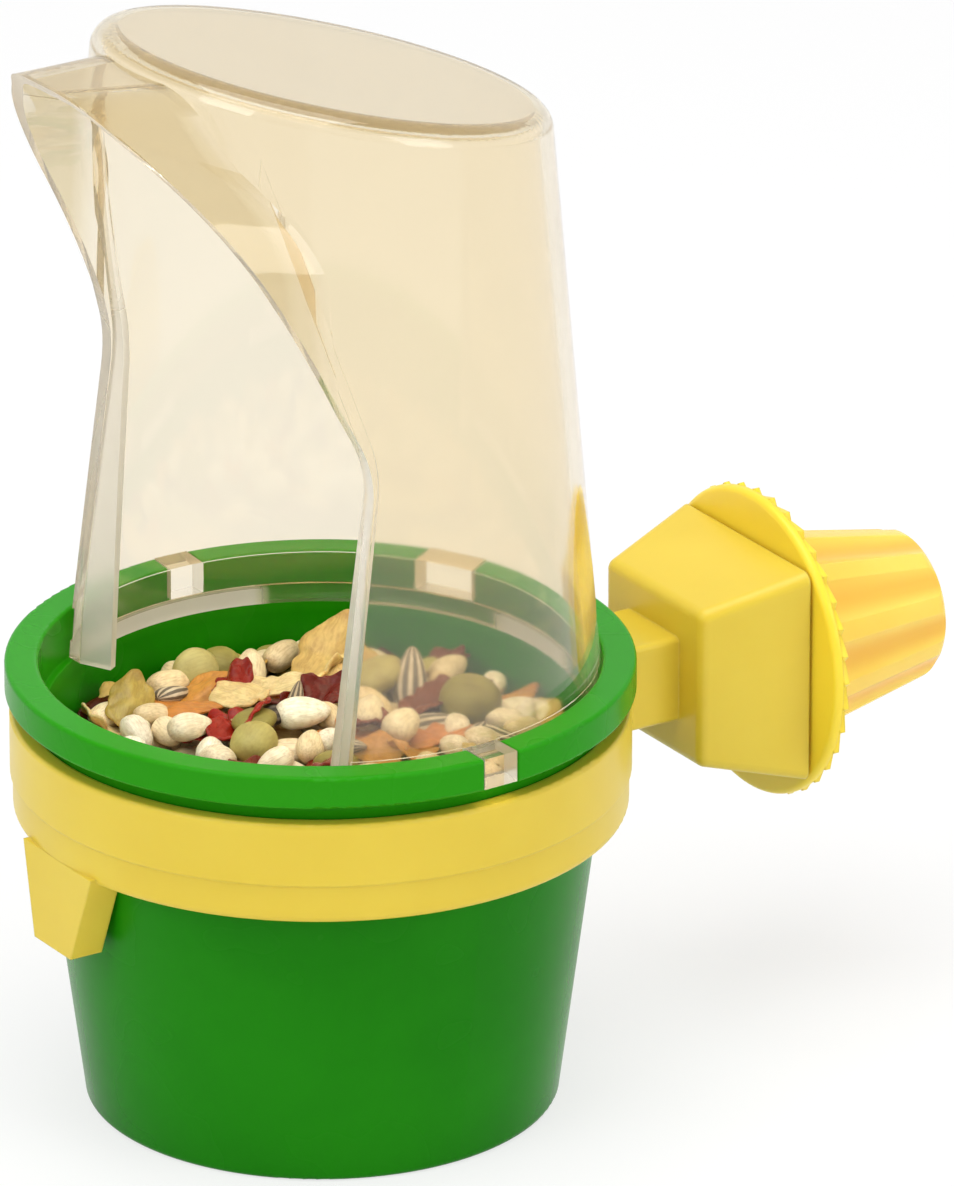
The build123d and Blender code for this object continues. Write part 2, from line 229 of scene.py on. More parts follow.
def makeFloor():
    bm = bmesh.new()
    bmesh.ops.create_grid(bm, x_segments=1, y_segments=1, size=stageLook["floorSize"])
    mesh = bpy.data.meshes.new("floor")
    bm.to_mesh(mesh)
    bm.free()
    floor = bpy.data.objects.new("floor", mesh)
    scene.collection.objects.link(floor)
    material, tree, shader = newMaterial("pale floor")
    shader.inputs["Base Color"].default_value = stageLook["floorPaint"]
    shader.inputs["Roughness"].default_value = stageLook["floorRoughness"]
    shader.inputs["Specular IOR Level"].default_value = stageLook["floorShine"]
    path = addNode(tree, "ShaderNodeLightPath").outputs
    seen = addMath(tree, "MAXIMUM", path["Is Camera Ray"], path["Is Glossy Ray"])
    seen = addMath(tree, "MAXIMUM", seen, path["Is Transmission Ray"])
    glow = addNode(tree, "ShaderNodeEmission", {"Color": white, "Strength": 1.0})
    share = addMath(tree, "MULTIPLY", seen, stageLook["floorGlow"])
    showMixed(tree, share, shader.outputs[0], glow.outputs[0])
    mesh.materials.append(material)


def makeSky():
    world = bpy.data.worlds.new("white room")
    scene.world = world
    world.use_nodes = True
    tree = world.node_tree
    path = addNode(tree, "ShaderNodeLightPath").outputs
    # white behind the object and overhead, greyer in front of it
    ways = addNode(tree, "ShaderNodeTexCoord").outputs["Generated"]
    depth = addRange(tree, addVector(tree, "DOT_PRODUCT", ways, farWay), -1.0, 1.0)
    room = addRamp(tree, depth, [(0.0, grey(stageLook["frontGrey"])), (stageLook["frontEnd"], white)])
    colour = addMix(tree, "MIX", path["Is Glossy Ray"], grey(stageLook["skyLight"]), room)
    bent = addMix(tree, "LIGHTEN", 1.0, room, grey(stageLook["clearGrey"]))
    colour = addMix(tree, "MIX", path["Is Transmission Ray"], colour, bent)
    colour = addMix(tree, "MIX", path["Is Camera Ray"], colour, white)
    join(tree, colour, tree.nodes["Background"].inputs["Color"])


lamps = {
    "over": {"place": (0.1, -0.1, 1.1), "size": 0.9, "power": 9.0},
    "left": {"place": (0.25, -1.0, 0.75), "size": 0.6, "power": 3.6},
    "right": {"place": (1.0, 0.55, 0.5), "size": 0.6, "power": 3.1},
}
lampTarget = Vector((0, 0.01, 0.06))


def makeLamps():
    for name, look in lamps.items():
        data = bpy.data.lights.new(name + " lamp", "AREA")
        data.shape = "SQUARE"
        data.size = look["size"]
        data.energy = look["power"]
        lamp = bpy.data.objects.new(name + " lamp", data)
        lamp.location = look["place"]
        aim = lampTarget - lamp.location
        lamp.rotation_euler = aim.to_track_quat("-Z", "Y").to_euler()
        scene.collection.objects.link(lamp)


makeFloor()
makeSky()
makeLamps()
print("floor and light set")


# moulded plastics
plastics = {
    "seed_cup": {
        "name": "green plastic",
        "colour": paint(26, 127, 4),
        "shade": paint(21, 118, 2),
        "edge": paint(66, 154, 36),
        "roughness": 0.26,
        "shine": 0.08,
        # painted light: the rim is painted paler green from the lower to the upper level, for light from
        # above and light through the plastic
        "thick": {"colour": paint(39, 146, 12), "levels": (51.0 * mm, 53.0 * mm), "share": 0.9},
    },
    "holder": {
        "name": "yellow plastic",
        "colour": paint(224, 198, 67),
        "shade": paint(219, 191, 59),
        "edge": paint(242, 222, 116),
        "roughness": 0.32,
        "shine": 0.32,
        "glow": 0.12,
    },
    "clamp_plate": {
        "name": "disc yellow plastic",
        "colour": paint(250, 221, 64),
        "shade": paint(245, 214, 57),
        "edge": paint(250, 224, 100),
        "roughness": 0.32,
        "shine": 0.32,
        "glow": 0.12,
    },
    "clamp_knob": {
        "name": "amber plastic",
        "colour": paint(248, 214, 92),
        "shade": paint(244, 204, 78),
        "edge": paint(253, 226, 120),
        "roughness": 0.22,
        "shine": 0.45,
        "glow": 0.3,
        # painted shade and glow: the floors of the flutes are painted deeper orange
        "paintedFluteShade": {
            "count": 10,
            "colour": paint(238, 178, 62),
            "drift": 0.8,
            "wave": (0.0, 1.3),
            "share": 0.75,
            "end": (0.8, 0.4),  # of the normal along the axis: the flat end keeps the plain colour
        },
    },
}
# noise textures are given by scale and detail
mouldSkin = {
    "drift": (38.0, 4.0),  # slow change of the pigment
    "driftStops": (0.35, 0.62),
    "edgeRadius": 0.35 * mm,
    "edgeSamples": 6,
    "edgeBend": (0.995, 0.86),
    "edgeShare": 0.6,
    "rub": (420.0, 3.0),
    "flow": (90.0, 1.0),  # faint flow marks in the gloss
    "flowGloss": (-0.02, 0.03),
    "grain": (900.0, 2.0),
    "grainBump": (0.06, 0.15 * mm),
    "ior": 1.49,
    "glowColour": (1.0, 0.6, 0.2),
    "glowDepth": 3 * mm,
}


# painted shade and glow: deeper orange in the flute floors
def addPaintedFluteShade(tree, place, normal, drift, colour, look):
    low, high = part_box("clamp_knob")
    middle = [(first + last) / 2 for first, last in zip(low, high)]
    x, y, z = addParts(tree, addVector(tree, "SUBTRACT", place, middle))
    angle = addMath(tree, "ARCTAN2", z, x)
    wave = addMath(tree, "COSINE", addMath(tree, "MULTIPLY", angle, look["count"]))
    wave = addMath(tree, "ADD", wave, addMath(tree, "MULTIPLY", drift, look["drift"]))
    share = addRange(tree, wave, *look["wave"], 0.0, look["share"])
    flank = addRange(tree, addMath(tree, "ABSOLUTE", addParts(tree, normal)[1]), *look["end"])
    return addMix(tree, "MIX", addMath(tree, "MULTIPLY", share, flank), colour, look["colour"])


def makePlastic(look):
    material, tree, shader = newMaterial(look["name"])
    place, normal = objectPlace(tree), faceNormal(tree)
    drift = addNoise(tree, place, *mouldSkin["drift"])
    shadeStop, colourStop = mouldSkin["driftStops"]
    colour = addRamp(tree, drift, [(shadeStop, look["shade"]), (colourStop, look["colour"])])
    # painted light: the rim paler green towards its top
    if "thick" in look:
        thick = look["thick"]
        share = addRange(tree, addParts(tree, place)[2], *thick["levels"], 0.0, thick["share"])
        colour = addMix(tree, "MIX", share, colour, thick["colour"])
    # painted shade and glow in the flute floors
    if "paintedFluteShade" in look:
        colour = addPaintedFluteShade(tree, place, normal, drift, colour, look["paintedFluteShade"])
    # rubbed, paler edges
    radius, samples = mouldSkin["edgeRadius"], mouldSkin["edgeSamples"]
    rounded = addNode(tree, "ShaderNodeBevel", {"Radius": radius}, samples=samples).outputs[0]
    bend = addVector(tree, "DOT_PRODUCT", rounded, normal)
    edge = addRange(tree, bend, *mouldSkin["edgeBend"], 0.0, mouldSkin["edgeShare"])
    worn = addMath(tree, "MULTIPLY", edge, addNoise(tree, place, *mouldSkin["rub"]))
    join(tree, addMix(tree, "MIX", worn, colour, look["edge"]), shader.inputs["Base Color"])
    # gloss and a fine moulded skin
    flow = addNoise(tree, place, *mouldSkin["flow"])
    smooth, dull = [look["roughness"] + change for change in mouldSkin["flowGloss"]]
    join(tree, addRange(tree, flow, *noiseSpan, smooth, dull), shader.inputs["Roughness"])
    grain = addNoise(tree, place, *mouldSkin["grain"])
    join(tree, addBump(tree, grain, *mouldSkin["grainBump"], rounded), shader.inputs["Normal"])
    shader.inputs["IOR"].default_value = mouldSkin["ior"]
    shader.inputs["Specular IOR Level"].default_value = look["shine"]
    if "glow" in look:
        setGlow(shader, look["glow"], mouldSkin["glowColour"], mouldSkin["glowDepth"])
    return material


def dress(node, material):
    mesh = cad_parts[node].data
    mesh.materials.clear()
    mesh.materials.append(material)


for node, look in plastics.items():
    dress(node, makePlastic(look))
dress("clamp_stud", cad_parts["holder"].data.materials[0])
print("plastics dressed")


# clear hood
hoodLook = {
    "tint": (0.93, 0.86, 0.71, 1),
    "paler": 1.02,  # what the tint drifts to
    "drift": (22.0, 3.0),
    "driftStops": (0.35, 0.65),
    "deep": (0.83, 0.785, 0.66, 1),  # what the thicker lid and visor take away
    "shadowTint": (0.89, 0.85, 0.77, 1),  # what each face leaves of the light for the seeds
    "roughness": 0.05,
    "haze": (60.0, 5.0),
    "hazeGloss": (-0.015, 0.02),
    "ior": 1.45,
    "clearness": 0.975,  # the rest is a faint milkiness of the plastic
    "guidedDepth": 3.5,  # light that has met more faces than this runs inside the wall
    "guidedMilk": 0.5,  # and this share of it is scattered
    "frost": (0.78, 0.77, 0.75, 1),
    "frostRoughness": 0.5,
    "frostMilk": 0.55,  # share of the light that a frosted face scatters back
    "frostSectors": ((186, 25), (-6, 25), (91.5, 13.5)),  # of the collar: middle and half width, degrees
    "sectorBlur": 2,
    "collarTop": (55.3 * mm, 55.0 * mm),
    "ribDepth": (0.15 * mm, 0.4 * mm),  # inside the tube's wall
    "ribTop": (126 * mm, 96 * mm),
    "ribSide": (2 * mm, -2 * mm),  # the rib on the +X side is clear
    "ribShare": 0.65,
    "cutAcross": (0.6, 0.4),  # the mouth's cut edges face neither outwards nor up
    "cutSlope": (0.75, 0.6),
    "cutTop": (118 * mm, 98 * mm),
    "cutShare": 0.6,
    "visorDepth": (0.3 * mm, 1.5 * mm),  # outside the tube's wall
    "visorFoot": (62 * mm, 66 * mm),
    "lidSlope": (0.6, 0.8),
    "tubeRadius": 35.4 * mm,
    "tubeFoot": 59.4 * mm,  # the tube is straight below this level
    "taper": 0.085,
    "wall": 1.8 * mm,
    "coneMatch": 0.985,  # faces turned no further than this from the cone take its normal
}


def addProduct(tree, *shares):
    product = shares[0]
    for share in shares[1:]:
        product = addMath(tree, "MULTIPLY", product, share)
    return product


def addHoodMasks(tree, place, normal, flat, outward):
    # how far each spot of the hood is frosted, and where its plastic is thick
    x, y, z = addParts(tree, place)
    slope = addMath(tree, "ABSOLUTE", addParts(tree, normal)[2])
    sectors = 0.0
    for middle, half in hoodLook["frostSectors"]:
        angle, blur = math.radians(middle), hoodLook["sectorBlur"]
        aligned = addVector(tree, "DOT_PRODUCT", outward, (math.cos(angle), math.sin(angle), 0))
        ends = [math.cos(math.radians(half + change)) for change in (blur, -blur)]
        sectors = addMath(tree, "MAXIMUM", addRange(tree, aligned, *ends), sectors)
    band = addProduct(tree, addRange(tree, z, *hoodLook["collarTop"]), sectors)
    rise = addMath(tree, "MAXIMUM", addMath(tree, "SUBTRACT", z, hoodLook["tubeFoot"]))
    narrowing = addMath(tree, "MULTIPLY", rise, hoodLook["taper"])
    inner = addMath(tree, "SUBTRACT", hoodLook["tubeRadius"] - hoodLook["wall"], narrowing)
    outer = addMath(tree, "ADD", inner, hoodLook["wall"])
    away = addVector(tree, "LENGTH", flat)
    rib = addProduct(
        tree,
        addRange(tree, addMath(tree, "SUBTRACT", inner, away), *hoodLook["ribDepth"]),
        addRange(tree, z, *hoodLook["ribTop"]),
        addRange(tree, x, *hoodLook["ribSide"]),
        hoodLook["ribShare"],
    )
    across = addMath(tree, "ABSOLUTE", addVector(tree, "DOT_PRODUCT", outward, normal))
    cut = addProduct(
        tree,
        addRange(tree, across, *hoodLook["cutAcross"]),
        addRange(tree, slope, *hoodLook["cutSlope"]),
        addRange(tree, z, *hoodLook["cutTop"]),
        hoodLook["cutShare"],
    )
    visor = addProduct(
        tree,
        addRange(tree, addMath(tree, "SUBTRACT", away, outer), *hoodLook["visorDepth"]),
        addRange(tree, z, *hoodLook["visorFoot"]),
    )
    lid = addRange(tree, slope, *hoodLook["lidSlope"])
    frost = addMath(tree, "MAXIMUM", addMath(tree, "MAXIMUM", band, rib), cut)
    return frost, addMath(tree, "MAXIMUM", visor, lid)


def addTubeNormal(tree, normal, outward):
    # the round tube's own normal on both faces of its wall, so that the facets don't bend the view
    cone = addVector(tree, "NORMALIZE", addVector(tree, "ADD", outward, (0, 0, hoodLook["taper"])))
    aligned = addVector(tree, "DOT_PRODUCT", cone, normal)
    side = addVector(tree, "SCALE", cone, addMath(tree, "SIGN", aligned))
    match = addMath(tree, "GREATER_THAN", addMath(tree, "ABSOLUTE", aligned), hoodLook["coneMatch"])
    mixed = addNode(tree, "ShaderNodeMix", data_type="VECTOR")
    for socket, value in ((mixed.inputs[0], match), (mixed.inputs[4], normal), (mixed.inputs[5], side)):
        join(tree, value, socket)
    return mixed.outputs[1]


def makeHoodPlastic():
    material, tree, shader = newMaterial("clear plastic")
    place, normal = objectPlace(tree), faceNormal(tree)
    flat = addVector(tree, "MULTIPLY", place, (1, 1, 0))
    outward = addVector(tree, "NORMALIZE", flat)
    frost, thick = addHoodMasks(tree, place, normal, flat, outward)
    tint = hoodLook["tint"]
    pale = tuple(min(1, hoodLook["paler"] * value) for value in tint[:3]) + (1,)
    tintStop, paleStop = hoodLook["driftStops"]
    drift = addNoise(tree, place, *hoodLook["drift"])
    colour = addRamp(tree, drift, [(tintStop, tint), (paleStop, pale)])
    colour = addMix(tree, "MULTIPLY", thick, colour, hoodLook["deep"])
    join(tree, addMix(tree, "MIX", frost, colour, hoodLook["frost"]), shader.inputs["Base Color"])
    haze = addNoise(tree, place, *hoodLook["haze"])
    smooth, dull = [hoodLook["roughness"] + change for change in hoodLook["hazeGloss"]]
    gloss = addRange(tree, haze, *noiseSpan, smooth, dull)
    dulled = addMath(tree, "MULTIPLY", frost, hoodLook["frostRoughness"])
    join(tree, addMath(tree, "MAXIMUM", gloss, dulled), shader.inputs["Roughness"])
    join(tree, addTubeNormal(tree, normal, outward), shader.inputs["Normal"])
    path = addNode(tree, "ShaderNodeLightPath").outputs
    guided = addMath(tree, "GREATER_THAN", path["Ray Depth"], hoodLook["guidedDepth"])
    milk = addMath(
        tree,
        "MAXIMUM",
        addMath(tree, "MULTIPLY", frost, hoodLook["frostMilk"]),
        addMath(tree, "MULTIPLY", guided, hoodLook["guidedMilk"]),
    )
    # the plain value stays on the socket, for where the link is dropped
    shader.inputs["Transmission Weight"].default_value = hoodLook["clearness"]
    clearness = addMath(tree, "SUBTRACT", hoodLook["clearness"], milk)
    join(tree, clearness, shader.inputs["Transmission Weight"])
    shader.inputs["IOR"].default_value = hoodLook["ior"]
    clear = addNode(tree, "ShaderNodeBsdfTransparent", {"Color": hoodLook["shadowTint"]})
    showMixed(tree, path["Is Shadow Ray"], shader.outputs[0], clear.outputs[0])
    return material


dress("hood", makeHoodPlastic())
print("hood dressed")


# seed mix, heaped on the bed's dome inside the cup
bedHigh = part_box("seed_bed")[1]
heapLook = {
    "draw": 11,
    "step": 0.4 * mm,  # of the grid that holds the heap's height
    "reach": 36 * mm,
    "wall": bedHigh[0] - 0.4 * mm,  # the seeds stay inside the cup's wall
    "crown": 2.6 * mm,
    "clear": 0.8,  # share of a seed's underside that doesn't sink into those below it
    "fill": 190,
    "fillTries": 14,
    "fillShares": (44, 6, 12, 8, 20, 10),  # of the kinds, in their order
    "fillLevels": (-0.7 * mm, 1.2 * mm),  # of the lowest seeds' middles, from the dome
    "heroTop": 5.2 * mm,  # and the most for those on top
    "heroRounds": 4,  # to find the level and the spot of a seed together
    "extra": 160,
    "extraTries": 6,
    "extraShares": (46, 2, 4, 6, 26, 16),
    "extraLow": 2.2 * mm,  # an extra seed goes only where the heap is lower than this
    "extraTop": 3.6 * mm,
    "way": 6.28,
    "lift": 0.4,  # the most, up or down
    "roll": 0.6,
    "sizes": (0.85, 1.05),
    "shades": (0.86, 1.06),
}
# half sizes in mm; a flake has a crumple, and some seeds taper and have flattened sides
seedKinds = {
    "safflower": {
        "size": (3.2, 2.1, 1.9),
        "taper": 0.26,
        "sides": (4, 0.06),
        "tints": ((252, 240, 212), (247, 231, 196), (238, 219, 178), (254, 246, 226)),
    },
    "pea": {"size": (3.5, 3.4, 3.0), "tints": ((166, 158, 84), (150, 143, 72), (178, 168, 98))},
    "lentil": {"size": (3.3, 3.1, 1.7), "tints": ((186, 178, 112), (168, 158, 86), (154, 142, 70))},
    "sunflower": {
        "size": (4.2, 2.1, 1.3),
        "taper": 0.34,
        "sides": (2, 0.05),
        "tints": ((232, 220, 200), (214, 200, 176)),
    },
    "flake": {
        "size": (4.6, 3.4, 1.4),
        "crumple": 0.6,
        "tints": ((210, 180, 104), (226, 198, 132), (205, 148, 70), (190, 166, 80), (232, 208, 152)),
    },
    "chilli": {
        "size": (3.8, 2.8, 1.3),
        "crumple": 0.8,
        "tints": ((96, 32, 18), (118, 46, 26), (80, 26, 15), (128, 34, 20)),
    },
}
seedPieces = {
    "safflowerSeeds": {"kinds": ("safflower",), "node": "safflower_seeds", "slot": "white_seed"},
    "driedPeas": {"kinds": ("pea", "lentil"), "node": "dried_peas", "slot": "green_pea"},
    "sunflowerSeeds": {"kinds": ("sunflower",), "node": "sunflower_seeds", "slot": "striped_seed"},
    "fruitFlakes": {"kinds": ("flake",), "node": "fruit_flakes", "slot": "golden_flake"},
    "chilliFlakes": {"kinds": ("chilli",), "node": "chilli_flakes", "slot": "red_flake"},
    "seedFill": {"kinds": (), "node": None, "slot": "mixed_seed"},
}
# faces: coarse, then fine; noise: depth and scale of each layer
formLook = {
    "noiseReach": 50,
    "solidFaces": ((8, 5), (12, 8)),
    "girth": ((0.09, 1.7),),
    "length": ((0.06, 1),),
    "sheetFaces": ((5, 4), (14, 11)),
    "curl": (0.5, 1.0),
    "curlLevel": 0.35,
    "tears": ((0.34, 1.7), (0.14, 5)),
    "folds": ((1, 1.5), (0.55, 3.4)),
    "creases": ((0.3, 7),),
    "thickness": 0.45 * mm,  # of a flake
}
# kind, pixel of the photograph, way its length lies in the picture, lift, roll, half sizes, colour
heroSeeds = [
    ("safflower", (109, 715), 20, 5, 0, None, None),
    ("flake", (131, 705), 60, 30, 20, (4.2, 3.2, 1.5), (186, 164, 78)),
    ("safflower", (170, 684), 15, 0, 10, (3.5, 2.2, 2.0), None),
    ("lentil", (196, 670), 10, 10, 60, (3.2, 3.1, 1.7), (190, 182, 118)),
    ("flake", (211, 693), 20, 12, 15, (4.6, 3.4, 1.6), (206, 146, 62)),
    ("flake", (184, 709), -10, 8, -10, (5.4, 3.8, 1.6), (204, 134, 56)),
    ("chilli", (231, 682), 30, 20, 0, (3.2, 2.4, 1.6), (142, 30, 16)),
    ("safflower", (250, 670), 80, 35, 0, (3.3, 2.2, 2.0), None),
    ("safflower", (282, 658), 30, 10, 0, None, None),
    ("safflower", (311, 648), 10, 10, 0, None, None),
    ("flake", (276, 678), 10, 5, 0, (4.6, 3.6, 1.4), (238, 218, 166)),
    ("flake", (239, 699), -20, 5, 12, (4.4, 3.2, 1.4), (232, 208, 150)),
    ("flake", (266, 717), 15, 0, -8, (4.6, 3.4, 1.4), (236, 214, 160)),
    ("flake", (334, 662), 38, 30, 25, (6.8, 5.2, 2.2), (220, 188, 112)),
    ("flake", (316, 668), 20, 20, -20, (4.6, 3.6, 2.0), (230, 204, 140)),
    ("chilli", (321, 699), 10, 14, 10, (5.0, 3.8, 2.4), (104, 26, 14)),
    ("sunflower", (295, 701), 72, 12, 0, (4.6, 1.1, 0.8), (196, 178, 150)),
    ("safflower", (303, 731), 5, 0, 0, (3.8, 2.5, 2.2), (254, 246, 226)),
    ("pea", (324, 721), 0, 0, 0, (2.2, 2.2, 2.0), (206, 134, 66)),
    ("chilli", (213, 731), 0, 12, 10, (4.4, 3.2, 1.8), (156, 28, 14)),
    ("chilli", (239, 721), 20, 14, -10, (4.0, 3.0, 1.8), (164, 36, 18)),
    ("lentil", (254, 733), 0, 10, 0, (3.0, 3.0, 1.5), (152, 142, 68)),
    ("sunflower", (274, 736), 15, 5, 0, (3.6, 1.8, 1.3), (96, 84, 72)),
    ("safflower", (190, 742), 10, 0, 0, None, None),
    ("safflower", (137, 729), 30, 0, 0, (2.5, 1.7, 1.5), None),
    ("lentil", (375, 680), 10, 20, 0, (4.2, 3.6, 2.2), (192, 182, 118)),
    ("sunflower", (412, 678), 80, 55, 0, (4.4, 2.2, 1.5), (236, 222, 200)),
    ("chilli", (446, 662), 10, 25, 0, (4.4, 3.2, 1.5), (124, 66, 38)),
    ("chilli", (428, 701), 5, 15, 0, (4.2, 3.6, 2.0), (132, 70, 40)),
    ("pea", (471, 699), 0, 0, 0, (4.2, 4.1, 3.7), (154, 146, 78)),
    ("safflower", (451, 682), 20, 10, 0, None, None),
    ("flake", (440, 735), 10, 6, 0, (4.4, 3.2, 1.2), (216, 142, 74)),
    ("flake", (369, 729), 10, 6, 10, (4.2, 3.0, 1.2), (212, 144, 78)),
    ("chilli", (367, 742), 0, 5, 0, (3.0, 2.2, 1.0), (128, 60, 34)),
    ("safflower", (402, 729), 30, 10, 0, (3.0, 2.4, 2.2), None),
    ("safflower", (369, 711), 60, 20, 0, (3.0, 2.3, 2.1), None),
    ("safflower", (526, 717), 45, 20, 0, (3.4, 1.5, 1.2), None),
]


def domeLevel(x, y):
    return bedHigh[2] - heapLook["crown"] * (x * x + y * y) / heapLook["wall"] ** 2


dice = random.Random(heapLook["draw"])
steps = np.arange(-heapLook["reach"], heapLook["reach"] + heapLook["step"], heapLook["step"])
heapX, heapY = np.meshgrid(steps, steps, indexing="ij")
dome = domeLevel(heapX, heapY)
heap = dome.copy()


def seedTurn(way, lift, roll):
    # long axis on the ground way, then raised by lift and turned about itself by roll
    return Matrix.Rotation(way, 3, "Z") @ Matrix.Rotation(-lift, 3, "Y") @ Matrix.Rotation(roll, 3, "X")


def groundWay(pictureAngle):
    # the way on the ground that looks turned by this angle in the picture
    angle = math.radians(pictureAngle)
    return turn + math.atan2(math.sin(angle) / math.sin(height), math.cos(angle))


def keepInside(x, y, turned, size):
    # moves a seed inwards until it clears the cup's wall
    away = math.hypot(x, y)
    if away < 1e-6:
        return x, y
    outward = turned.transposed() @ Vector((x / away, y / away, 0))
    reach = math.sqrt(sum((outward[axis] * size[axis]) ** 2 for axis in range(3)))
    share = min(1, max(0, heapLook["wall"] - reach) / away)
    return x * share, y * share


def surfaces(x, y, turned, size):
    # lower and upper face of the turned seed over the heap's grid, and where it lies
    form = np.array(turned @ Matrix.Diagonal([1 / value**2 for value in size]) @ turned.transposed())
    near = max(size)
    first = np.searchsorted(steps, (x - near, y - near))
    last = np.searchsorted(steps, (x + near, y + near))
    area = (slice(first[0], last[0]), slice(first[1], last[1]))
    dx, dy = heapX[area] - x, heapY[area] - y
    half = form[0, 2] * dx + form[1, 2] * dy
    rest = form[0, 0] * dx**2 + 2 * form[0, 1] * dx * dy + form[1, 1] * dy**2 - 1
    inside = half**2 - form[2, 2] * rest
    under = inside > 0
    root = np.sqrt(np.where(under, inside, 0))
    return area, under, (-half - root) / form[2, 2], (-half + root) / form[2, 2]


def restLevel(x, y, turned, size, most):
    area, under, lower, _ = surfaces(x, y, turned, size)
    rest = float(np.quantile((heap[area] - lower)[under], heapLook["clear"]))
    return min(rest, domeLevel(x, y) + most)


def settle(x, y, level, turned, size):
    area, under, _, upper = surfaces(x, y, turned, size)
    heap[area] = np.where(under, np.maximum(heap[area], level + upper), heap[area])


def ownShift():
    # a place in the noise for each seed
    far = formLook["noiseReach"]
    return Vector([dice.uniform(-far, far) for _ in range(3)])


def addLayers(value, layers, place, shift):
    for depth, scale in layers:
        value += depth * noise.noise(place * scale + shift)
    return value


def seedSolid(bm, kind, fine):
    # closed seed of about unit half size, its length along X
    lengthwise = Matrix.Rotation(math.radians(90), 4, "Y")
    around, along = formLook["solidFaces"][fine]
    made = bmesh.ops.create_uvsphere(bm, u_segments=around, v_segments=along, radius=1, matrix=lengthwise)
    shift = ownShift()
    taper = seedKinds[kind].get("taper", 0)
    count, flatness = seedKinds[kind].get("sides", (0, 0))
    for vert in made["verts"]:
        x, y, z = vert.co
        girth = (1 - taper * x) * (1 + flatness * math.cos(count * math.atan2(z, y)))
        girth *= addLayers(1, formLook["girth"], vert.co, shift)
        vert.co = Vector((x * addLayers(1, formLook["length"], vert.co, shift), y * girth, z * girth))
    return made["verts"]


def seedSheet(bm, kind, fine):
    # curled, crumpled flake of about unit half size
    across, along = formLook["sheetFaces"][fine]
    made = bmesh.ops.create_grid(bm, x_segments=across, y_segments=along, size=1)
    shift = ownShift()
    curl = dice.uniform(*formLook["curl"]) * dice.choice((-1, 1))
    folds = formLook["folds"] + (formLook["creases"] if fine else ())
    for vert in made["verts"]:
        # a round sheet with a torn outline
        x, y = vert.co.x, vert.co.y
        x, y = x * math.sqrt(1 - y * y / 2), y * math.sqrt(1 - x * x / 2)
        angle = math.atan2(y, x)
        edge = Vector((math.cos(angle), math.sin(angle), 0))
        torn = addLayers(1, formLook["tears"], edge, shift)
        x, y = x * torn, y * torn
        fold = addLayers(0, folds, Vector((x, y, 0)), shift)
        vert.co = Vector((x, y, curl * (y * y - formLook["curlLevel"]) + seedKinds[kind]["crumple"] * fold))
    return made["verts"]


def startPiece():
    bm = bmesh.new()
    return {
        "bm": bm,
        "tint": bm.verts.layers.float_color.new("seedTint"),
        "place": bm.verts.layers.float_vector.new("seedPlace"),
        "count": 0,
    }


def addSeed(piece, kind, centre, turned, size, tint, fine):
    bm = piece["bm"]
    make = seedSheet if "crumple" in seedKinds[kind] else seedSolid
    verts = make(bm, kind, fine)
    shade = dice.uniform(*heapLook["shades"])
    colour = [min(1, channel * shade) for channel in paint(*tint)[:3]] + [1]
    for vert in verts:
        vert[piece["tint"]] = colour
        vert[piece["place"]] = vert.co
    spread = Matrix.Diagonal((*size, 1))
    bmesh.ops.transform(bm, matrix=Matrix.Translation(centre) @ turned.to_4x4() @ spread, verts=verts)
    piece["count"] += 1


def pieceOf(kind):
    return next(name for name, look in seedPieces.items() if kind in look["kinds"])


def laySeed(piece, kind, x, y, level, turned, size, tint, fine):
    settle(x, y, level, turned, size)
    addSeed(piece, kind, Vector((x, y, level)), turned, size, tint, fine)


def randomSpot():
    away, way = heapLook["wall"] * math.sqrt(dice.random()), dice.uniform(0, 2 * math.pi)
    return away * math.cos(way), away * math.sin(way)


def randomSeed(shares):
    kind = dice.choices(list(seedKinds), shares)[0]
    way, lift, roll = heapLook["way"], heapLook["lift"], heapLook["roll"]
    turned = seedTurn(dice.uniform(0, way), dice.uniform(-lift, lift), dice.uniform(-roll, roll))
    size = [value * mm * dice.uniform(*heapLook["sizes"]) for value in seedKinds[kind]["size"]]
    return kind, turned, size, dice.choice(seedKinds[kind]["tints"])


def heapAt(spot):
    row, column = np.searchsorted(steps, spot)
    return heap[row, column] - dome[row, column]


pieces = {name: startPiece() for name in seedPieces}
# the lowest seeds, spread evenly
taken = [(0, 0)]
for _ in range(heapLook["fill"]):
    kind, turned, size, tint = randomSeed(heapLook["fillShares"])
    spots = [randomSpot() for _ in range(heapLook["fillTries"])]
    spot = max(spots, key=lambda place: min(math.dist(place, other) for other in taken))
    taken.append(spot)
    x, y = keepInside(*spot, turned, size)
    level = domeLevel(x, y) + dice.uniform(*heapLook["fillLevels"])
    laySeed(pieces["seedFill"], kind, x, y, level, turned, size, tint, False)
# those that show, each at its own pixel
for kind, pixel, pictureAngle, lift, roll, size, tint in heroSeeds:
    size = [value * mm for value in (size or seedKinds[kind]["size"])]
    turned = seedTurn(groundWay(pictureAngle), math.radians(lift), math.radians(roll))
    level = bedHigh[2] + heapLook["heroTop"]
    for _ in range(heapLook["heroRounds"]):
        spot = spotOnLevel(pixel, level)
        x, y = keepInside(spot.x, spot.y, turned, size)
        level = restLevel(x, y, turned, size, heapLook["heroTop"])
    tint = tint or dice.choice(seedKinds[kind]["tints"])
    laySeed(pieces[pieceOf(kind)], kind, x, y, level, turned, size, tint, True)
